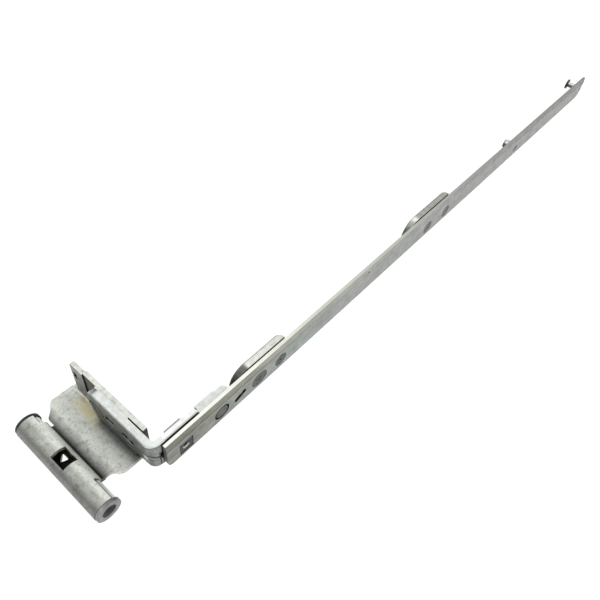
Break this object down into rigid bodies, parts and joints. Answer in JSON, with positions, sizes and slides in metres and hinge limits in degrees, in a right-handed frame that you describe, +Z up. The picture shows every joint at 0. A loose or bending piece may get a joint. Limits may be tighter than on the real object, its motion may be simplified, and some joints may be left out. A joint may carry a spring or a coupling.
{
  "type": "window stay arm",
  "caption": "long flat stay arm with an angle arm and a rolled hinge leaf that carries a window sash and limits how far it tilts",
  "frame": {"origin": "centre of the knuckle bore, midway along the roll", "axes": "+X along the stay bar from the knuckle to the far end, +Y along the knuckle axis towards the window reveal side, +Z up"},
  "size_m": [0.4726, 0.0616, 0.0232],
  "materials": {
    "zinc_sheet": "satin",
    "zinc_bar": "satin",
    "bright_steel": "satin",
    "die_cast": "satin",
    "rivet_steel": "satin",
    "grey_bush": "matte",
    "dark_insert": "matte"
  },
  "bodies": {
    "hinge_leaf": {"hinge_leaf": "zinc_sheet", "knuckle_bush_near": "grey_bush", "knuckle_bush_far": "grey_bush", "flange_shim": "bright_steel", "angle_arm": "bright_steel", "flange_rivet": "zinc_sheet", "slot_pin": "bright_steel"},
    "stay_bar": {"stay_arm_bar": "zinc_bar", "adjuster_seat": "dark_insert", "guide_rivet": "rivet_steel", "guide_rivet_washer": "bright_steel", "locating_pin": "bright_steel", "guide_block_near": "die_cast", "near_block_main_rivet": "rivet_steel", "near_block_end_rivet": "rivet_steel", "guide_block_far": "die_cast", "far_block_main_rivet": "rivet_steel", "far_block_end_rivet": "rivet_steel", "mid_pin": "rivet_steel", "end_stud": "rivet_steel"},
    "adjusting_screw": {"adjusting_screw": "rivet_steel", "adjuster_retainer": "bright_steel"},
    "mid_pin_roller": {"mid_pin_roller": "bright_steel"},
    "end_stud_roller": {"end_stud_roller": "bright_steel"}
  },
  "joints": [
    {"name": "side_adjust", "type": "slide", "parent": "hinge_leaf", "child": "stay_bar", "axis": [1, 0, 0], "range_m": [-0.0015, 0.0015]},
    {"name": "adjuster_turn", "type": "hinge", "parent": "stay_bar", "child": "adjusting_screw", "pos_m": [0.03575, -0.028, 0.00655], "axis": [0, 1, 0], "range_deg": [-46, 46]},
    {"name": "mid_roller_turn", "type": "hinge", "parent": "stay_bar", "child": "mid_pin_roller", "pos_m": [0.34155, -0.0253, 0.00755], "axis": [0, 1, 0], "continuous": true},
    {"name": "end_roller_turn", "type": "hinge", "parent": "stay_bar", "child": "end_stud_roller", "pos_m": [0.46255, -0.0242, 0.00955], "axis": [0, 1, 0], "continuous": true}
  ],
  "couplings": [
    {"joint": "adjuster_turn", "follows": "side_adjust", "rad_per_m": -523.6}
  ]
}
